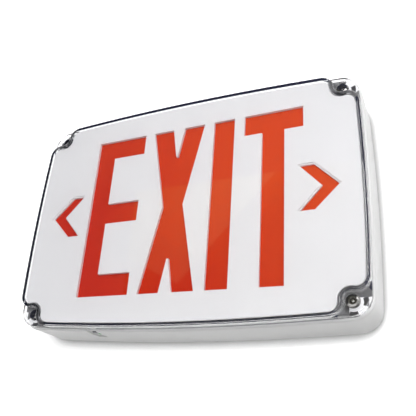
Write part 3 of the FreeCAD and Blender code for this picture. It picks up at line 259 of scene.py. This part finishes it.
def dress(names, material):
    """Give the named nodes this one material."""
    for name in names:
        slots = NODES[name].data.materials
        slots.clear()
        slots.append(material)


# ---- mesh helpers ---------------------------------------------------------------------------
def deselect():
    if bpy.context.object and bpy.context.object.mode != "OBJECT":
        bpy.ops.object.mode_set(mode="OBJECT")
    bpy.ops.object.select_all(action="DESELECT")


# ---- operators ------------------------------------------------------------------------------
class EXITLIGHT_OT_mouldings(bpy.types.Operator):
    """Finish the white housing, back plate and reflector."""

    bl_idname = "exit_light.mouldings"
    bl_label = "Mouldings"

    def execute(self, context):
        looks = context.scene.exit_light_colours
        dress(["housing", "back_plate"],
              plastic("moulded_white", looks.moulding, looks.moulding_roughness))
        dress(["reflector_tray"], plastic("reflector_white", shaded(looks.moulding, 1.06), 0.5))
        return {"FINISHED"}


class EXITLIGHT_OT_cover(bpy.types.Operator):
    """Finish the clear polycarbonate cover."""

    bl_idname = "exit_light.cover"
    bl_label = "Clear cover"

    def execute(self, context):
        looks = context.scene.exit_light_colours
        dress(["lens_cover"], glass("clear_polycarbonate", (0.99, 0.99, 0.995), looks.cover_roughness, 1.585))
        return {"FINISHED"}


class EXITLIGHT_OT_legend(bpy.types.Operator):
    """Finish the white stencil face and the red diffuser behind it."""

    bl_idname = "exit_light.legend"
    bl_label = "Legend"

    def execute(self, context):
        looks = context.scene.exit_light_colours
        dress(["stencil_plate"], plastic("stencil_white", looks.face, looks.face_roughness, mottle=0.012,
                                         grain_scale=1400.0, grain_depth=0.00002))
        material, tree, shader = new_material("diffuser_red")
        x, _, z = coordinates(tree)
        # Painted highlight: the red turns paler and more orange towards the upper right, where light and
        # reflection fall
        slant = calc(tree, "ADD", calc(tree, "MULTIPLY", x, 3.0), calc(tree, "MULTIPLY", z, 4.0))
        wander = calc(tree, "ADD", slant, noise(tree, 9.0, 2.0))
        link(tree, ramp(tree, wander, [(0.1, looks.red), (0.95, looks.red_painted_highlight)]),
             shader.inputs["Base Color"])
        shader.inputs["Roughness"].default_value = 0.45
        shader.inputs["Specular IOR Level"].default_value = 0.1
        grain(tree, shader, noise(tree, 800.0, 2.0), 0.2, 0.00002)
        dress(["red_diffuser"], material)
        return {"FINISHED"}


class EXITLIGHT_OT_seals(bpy.types.Operator):
    """Finish the gaskets, grommet and button seal."""

    bl_idname = "exit_light.seals"
    bl_label = "Seals"

    def execute(self, context):
        looks = context.scene.exit_light_colours
        dress(["back_seal"], plastic("silicone_grey", looks.seal, 0.6, mottle=0.04))
        dress(["cover_gasket"], self.cover_seal(looks))
        dress(["supply_grommet", "button_seal"], plastic("black_rubber", looks.rubber, 0.6, mottle=0.2))
        dress(["wall_gasket"], plastic("gasket_foam", shaded(looks.rubber, 4.0), 0.85, mottle=0.2,
                                       grain_scale=2500.0, grain_depth=0.00015))
        return {"FINISHED"}

    def cover_seal(self, looks):
        """Silicone seen through the cover, coloured with painted light: painted shade, dark blue, in its
        channel, a darker painted grey round each screw, and a painted pale, glowing floor in the corner with
        darker painted reflection patches.
        """
        material, tree, shader = new_material("silicone_cover")
        along, above, apart = round_screws(tree)
        turn = calc(tree, "ARCTAN2", above, along)
        turn = calc(tree, "ABSOLUTE", calc(tree, "SUBTRACT", turn, math.pi / 4))
        near = calc(tree, "LESS_THAN", apart, SCALLOP_RADIUS)
        outward = calc(tree, "GREATER_THAN", calc(tree, "MINIMUM", along, above), POCKET_BACK)
        floor = calc(tree, "MULTIPLY", outward, calc(tree, "LESS_THAN", apart, POCKET_RADIUS))
        # Painted reflection: darker grey patches in the floor, placed by their turn from the diagonal and
        # their distance from the screw
        painted_reflection_patch = 1.0
        for value, (low, high) in ((turn, PAINTED_PATCH_ANGLES), (apart, PAINTED_PATCH_RADII)):
            painted_reflection_patch = calc(tree, "MULTIPLY", painted_reflection_patch, calc(tree, "GREATER_THAN", value, low))
            painted_reflection_patch = calc(tree, "MULTIPLY", painted_reflection_patch, calc(tree, "LESS_THAN", value, high))
        # Painted light: the rest of that floor is near-white and glows. Painted shade: dark blue in the
        # channel and darker grey round each screw
        pale = calc(tree, "MULTIPLY", floor, calc(tree, "SUBTRACT", 1.0, painted_reflection_patch))
        shown = blend(tree, near, looks.seal_painted_shade[:], shaded(looks.seal, 0.6))
        shown = blend(tree, floor, shown, shaded(looks.seal, 0.25))
        link(tree, blend(tree, pale, shown, looks.seal_painted_light[:]), shader.inputs["Base Color"])
        link(tree, blend(tree, pale, (0.0, 0.0, 0.0), (0.2, 0.2, 0.205)), shader.inputs["Emission Color"])
        shader.inputs["Emission Strength"].default_value = 1.0
        shader.inputs["Roughness"].default_value = 0.5
        return material


class EXITLIGHT_OT_fasteners(bpy.types.Operator):
    """Finish the cover screws, their washers and the small screws."""

    bl_idname = "exit_light.fasteners"
    bl_label = "Fasteners"

    def execute(self, context):
        looks = context.scene.exit_light_colours
        dress(["cover_screws"], self.steel_painted_light(looks))
        dress(["screw_washers"], metal("washer_steel", shaded(looks.steel, 0.6), 0.2))
        dress(["back_plate_screws", "reflector_screws", "led_board_screws", "control_board_screws",
               "strap_screws", "switch_board_screws"],
              metal("zinc_plate", (0.55, 0.56, 0.58), 0.32))
        return {"FINISHED"}

    def steel_painted_light(self, looks):
        """Polished steel with painted light at each cover screw's axis: a painted highlight on the pin,
        painted shade in the dark socket round it, a painted highlight ring beyond, and painted shade towards
        the head's rim.
        """
        material, tree, shader = new_material("screw_steel")
        _, _, apart = round_screws(tree)
        # Painted light by distance from the axis: highlight on the pin, shade in the socket, a highlight
        # ring, then shade towards the rim
        stops = ((0.17, 1.1), (0.21, 0.08), (0.36, 0.1), (0.42, 0.75), (0.75, 0.5), (0.95, 0.3))
        painted_rings = ramp(tree, calc(tree, "DIVIDE", apart, SCREW_HEAD_RADIUS),
                     [(radius, shaded(looks.steel, factor)) for radius, factor in stops])
        link(tree, painted_rings, shader.inputs["Base Color"])
        marks = noise(tree, TOOL_MARKS, 4.0, 0.6)
        rough_range(tree, shader, marks, 0.1, 0.2)
        grain(tree, shader, marks, 0.3, 0.00002)
        shader.inputs["Metallic"].default_value = 1.0
        return material


class EXITLIGHT_OT_electronics(bpy.types.Operator):
    """Finish the boards, their components, the battery and the test controls."""

    bl_idname = "exit_light.electronics"
    bl_label = "Electronics"

    def execute(self, context):
        looks = context.scene.exit_light_colours
        for names, material, tint, roughness, mottle in (
                (("control_board", "switch_board", "led_board_upper", "led_board_lower"),
                 "board_green", looks.board, 0.32, 0.12),
                (("leds_upper", "leds_lower"), "lamp_package", (0.8, 0.62, 0.25), 0.25, 0.1),
                (("transformer_bobbin",), "bobbin_tape", (0.85, 0.72, 0.20), 0.4, 0.05),
                (("transfer_relay",), "relay_case", (0.10, 0.22, 0.50), 0.3, 0.06),
                (("capacitors",), "capacitor_sleeve", (0.12, 0.13, 0.20), 0.3, 0.1),
                (("terminal_block",), "terminal_green", (0.10, 0.45, 0.20), 0.4, 0.06),
                (("battery_cells",), "cell_sleeve", (0.80, 0.62, 0.10), 0.3, 0.06),
                (("battery_end_caps", "test_switch", "diffuser_retainers"),
                 "black_nylon", (0.03, 0.03, 0.032), 0.5, 0.1),
                (("test_button",), "button_dark", (0.12, 0.12, 0.13), 0.4, 0.06),
                (("indicator_lamp",), "lamp_green", (0.15, 0.60, 0.20), 0.15, 0.06)):
            dress(names, plastic(material, tint, roughness, mottle=mottle))
        dress(["transformer_core"], metal("core_steel", (0.3, 0.3, 0.31), 0.45, brush=(1.0, 9.0, 1.0)))
        dress(["battery_strap"], metal("strap_steel", (0.6, 0.6, 0.6), 0.3, brush=(1.0, 1.0, 8.0)))
        return {"FINISHED"}


class EXITLIGHT_OT_stage(bpy.types.Operator):
    """Set up the pale wall and floor, the cards, the lamps and the camera."""

    bl_idname = "exit_light.stage"
    bl_label = "Stage"

    def execute(self, context):
        studio = context.scene.exit_light_studio
        planes = self.backdrop()
        self.cards()
        self.lamps(studio, planes)
        self.surroundings(context.scene, studio)
        self.camera(context.scene, studio)
        return {"FINISHED"}

    def backdrop(self):
        """White wall and floor that keep the object's shadow, cast by the halo lamp and painted near the
        sign, and show only from the front.
        """
        material, tree, shader = new_material("stage_white")
        nodes = tree.nodes
        rays = nodes.new("ShaderNodeLightPath")
        side = nodes.new("ShaderNodeNewGeometry")
        # Painted shadow: an occlusion node darkens the colour and glow within 12 mm of the sign. The glow is
        # also lower near the sign and rises away from it
        contact = nodes.new("ShaderNodeAmbientOcclusion")
        contact.inputs["Distance"].default_value = 0.012
        contact.samples = 16
        shade = span(tree, contact.outputs["AO"], 0.5, 0.95, 0.3, 0.9)
        x, y, _ = coordinates(tree)
        squares = [calc(tree, "MULTIPLY", offset, offset) for offset in (x, y)]
        apart = calc(tree, "SQRT", calc(tree, "ADD", *squares))
        glow = calc(tree, "MULTIPLY", shade, span(tree, apart, 0.2, 0.32, 0.4, 1.1))
        link(tree, shade, shader.inputs["Base Color"])
        link(tree, glow, shader.inputs["Emission Strength"])
        shader.inputs["Emission Color"].default_value = WHITE
        shader.inputs["Roughness"].default_value = 0.9
        shader.inputs["Specular IOR Level"].default_value = 0.0
        hidden = nodes.new("ShaderNodeBsdfTransparent")
        passes = calc(tree, "MAXIMUM", rays.outputs["Is Shadow Ray"], rays.outputs["Is Diffuse Ray"])
        passes = calc(tree, "MAXIMUM", passes, side.outputs["Backfacing"])
        link(tree, either(tree, passes, shader.outputs["BSDF"], hidden.outputs["BSDF"]),
             nodes["Material Output"].inputs["Surface"])
        planes = []
        for name, place, turn in (("stage_wall", (0.0, 0.0015, 0.0), (math.pi / 2, 0.0, 0.0)),
                                  ("stage_floor", (0.0, 0.0, -1.1), (0.0, 0.0, 0.0))):
            deselect()
            bpy.ops.mesh.primitive_plane_add(size=8.0, location=place, rotation=turn)
            plane = bpy.context.object
            plane.name = name
            plane.data.materials.append(material)
            planes.append(plane)
        return planes

    def cards(self):
        """Cards that only mirrors and clear plastic see: flags all round, two ahead with a gabled edge."""
        flags = [(name, (1.0, 1.0), FLAG_TINT,
                  ((ax, FLAG_NEAR, az), (bx, FLAG_NEAR, bz), (bx, FLAG_FAR, bz), (ax, FLAG_FAR, az)))
                 for name, ax, az, bx, bz in (("flag_right", FLAG_X, -FLAG_Z, FLAG_X, FLAG_Z),
                                              ("flag_left", -FLAG_X, -FLAG_Z, -FLAG_X, FLAG_Z),
                                              ("flag_top", -FLAG_X, FLAG_Z, FLAG_X, FLAG_Z),
                                              ("flag_bottom", -FLAG_X, -FLAG_Z, FLAG_X, -FLAG_Z))]
        behind = CARD_Y + 0.005
        cards = [("card_dark", (0.0, 0.1), (1.0, 0.95, 0.7),
                  ((-1.0, CARD_Y, 0.0), (0.2, CARD_Y, 0.0), (0.2, CARD_Y, 0.8), (-1.0, CARD_Y, 0.8))),
                 ("card_pale", (0.08, 0.4), (1.0, 0.95, 0.5),
                  ((-1.0, behind, 0.5), (-0.38, behind, 0.177), (0.184, behind, 0.8), (-1.0, behind, 0.8)))]
        for name, strengths, tint, corners in flags + cards:
            material, tree, shader = new_material(name)
            x, _, _ = coordinates(tree)
            glow = tree.nodes.new("ShaderNodeEmission")
            glow.inputs["Color"].default_value = (*tint, 1.0)
            link(tree, span(tree, x, -0.75, 0.0, *strengths), glow.inputs["Strength"])
            link(tree, glow.outputs["Emission"], tree.nodes["Material Output"].inputs["Surface"])
            mesh = bpy.data.meshes.new(name)
            mesh.from_pydata(corners, [], [tuple(range(len(corners)))])
            mesh.materials.append(material)
            card = bpy.data.objects.new(name, mesh)
            bpy.context.scene.collection.objects.link(card)
            card.visible_camera = card.visible_diffuse = card.visible_shadow = False

    def lamps(self, studio, planes):
        """Key and fill on the object, and a lamp by the camera that lights only the wall."""
        wall_only = bpy.data.collections.new("wall_only")
        for plane in planes:
            wall_only.objects.link(plane)
        beside = Vector(studio.eye) + Vector((-0.02, 0.0, 0.025))
        for name, power, size, place, aim, receivers in (
                ("lamp_key", studio.key, 0.9, Vector((0.4, -1.25, 0.55)), Vector(), None),
                ("lamp_fill", studio.fill, 1.2, Vector((1.2, -0.6, 0.0)), Vector(), None),
                ("lamp_halo", studio.halo, 0.14, beside, Vector(), wall_only)):
            data = bpy.data.lights.new(name, "AREA")
            data.energy = power
            data.size = size
            lamp = bpy.data.objects.new(name, data)
            lamp.location = place
            lamp.rotation_euler = (aim - place).to_track_quat("-Z", "Y").to_euler()
            lamp.visible_camera = False
            bpy.context.scene.collection.objects.link(lamp)
            if receivers:
                lamp.light_linking.receiver_collection = receivers

    def surroundings(self, scene, studio):
        """Soft light that grows with height, and plain white where a camera, mirror or clear piece looks."""
        world = bpy.data.worlds.new("studio")
        world.use_nodes = True
        scene.world = world
        tree = world.node_tree
        nodes = tree.nodes
        _, _, z = coordinates(tree, "Generated")
        soft = nodes["Background"]
        soft.inputs["Color"].default_value = WHITE
        link(tree, span(tree, z, -1.0, 1.0, studio.ambient - studio.tilt, studio.ambient + studio.tilt),
             soft.inputs["Strength"])
        white = nodes.new("ShaderNodeBackground")
        white.inputs["Strength"].default_value = 1.0
        white.inputs["Color"].default_value = WHITE
        rays = nodes.new("ShaderNodeLightPath")
        shown = rays.outputs["Is Camera Ray"]
        for kind in ("Is Glossy Ray", "Is Transmission Ray"):
            shown = calc(tree, "MAXIMUM", shown, rays.outputs[kind])
        link(tree, either(tree, shown, soft.outputs["Background"], white.outputs["Background"]),
             nodes["World Output"].inputs["Surface"])

    def camera(self, scene, studio):
        """Camera below and to the right of the sign, turned to the given axes of its picture."""
        right = Vector((0.91269, 0.40295, 0.06804))
        down = Vector((-0.10597, 0.39418, -0.91290))
        forward = right.cross(down)
        turn = Matrix((right, -down, -forward)).transposed().to_4x4()
        data = bpy.data.cameras.new("camera")
        data.lens = studio.focal
        data.sensor_width = 36.0
        data.shift_x, data.shift_y = CAMERA_SHIFT
        camera = bpy.data.objects.new("camera", data)
        camera.matrix_world = Matrix.Translation(studio.eye) @ turn
        scene.collection.objects.link(camera)
        scene.camera = camera
        scene.view_settings.view_transform = "Standard"


class EXITLIGHT_PT_sidebar(bpy.types.Panel):
    """Sidebar panel of the exit light's steps."""

    bl_idname = "EXITLIGHT_PT_sidebar"
    bl_label = "Exit Light"
    bl_space_type = "VIEW_3D"
    bl_region_type = "UI"
    bl_category = "Exit Light"

    def draw(self, context):
        for step in STEPS:
            self.layout.operator(step.bl_idname)
        for group in (context.scene.exit_light_colours, context.scene.exit_light_studio):
            box = self.layout.box()
            for name in group.__annotations__:
                box.prop(group, name)


GROUPS = (ExitLightColours, ExitLightStudio)
STEPS = (EXITLIGHT_OT_mouldings, EXITLIGHT_OT_cover, EXITLIGHT_OT_legend, EXITLIGHT_OT_seals,
         EXITLIGHT_OT_fasteners, EXITLIGHT_OT_electronics, EXITLIGHT_OT_stage)
CLASSES = (*GROUPS, *STEPS, EXITLIGHT_PT_sidebar)


def register():
    for cls in CLASSES:
        bpy.utils.register_class(cls)
    bpy.types.Scene.exit_light_colours = bpy.props.PointerProperty(type=ExitLightColours)
    bpy.types.Scene.exit_light_studio = bpy.props.PointerProperty(type=ExitLightStudio)


def unregister():
    del bpy.types.Scene.exit_light_studio
    del bpy.types.Scene.exit_light_colours
    for cls in reversed(CLASSES):
        bpy.utils.unregister_class(cls)


def main():
    register()
    for step in STEPS:
        group, name = step.bl_idname.split(".")
        getattr(getattr(bpy.ops, group), name)()


if __name__ == "__main__":
    main()
